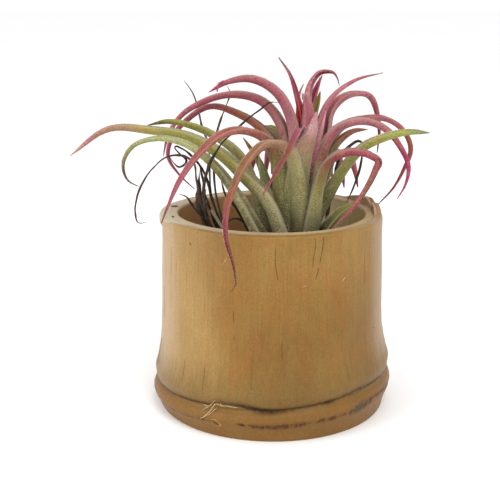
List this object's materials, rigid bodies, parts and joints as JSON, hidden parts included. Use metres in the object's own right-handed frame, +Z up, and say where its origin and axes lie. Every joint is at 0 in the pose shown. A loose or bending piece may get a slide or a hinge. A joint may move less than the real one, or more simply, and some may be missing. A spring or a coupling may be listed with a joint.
{
  "type": "air plant in bamboo cup",
  "caption": "Pink-flushed air plant with arching channelled leaves and withered dark strands, standing in a cup cut from bamboo with a node ring near its foot.",
  "frame": {"origin": "middle of the cup's flat foot", "axes": "+Z up along the cup's axis, -Y toward the front, +X to the right"},
  "size_m": [0.1259, 0.1008, 0.1264],
  "materials": {
    "bamboo": "satin",
    "living_leaf": "matte",
    "dry_leaf": "matte"
  },
  "bodies": {
    "root": {"bamboo_cup": "bamboo", "leaf_rosette": "living_leaf", "dry_leaves": "dry_leaf"}
  },
  "joints": []
}
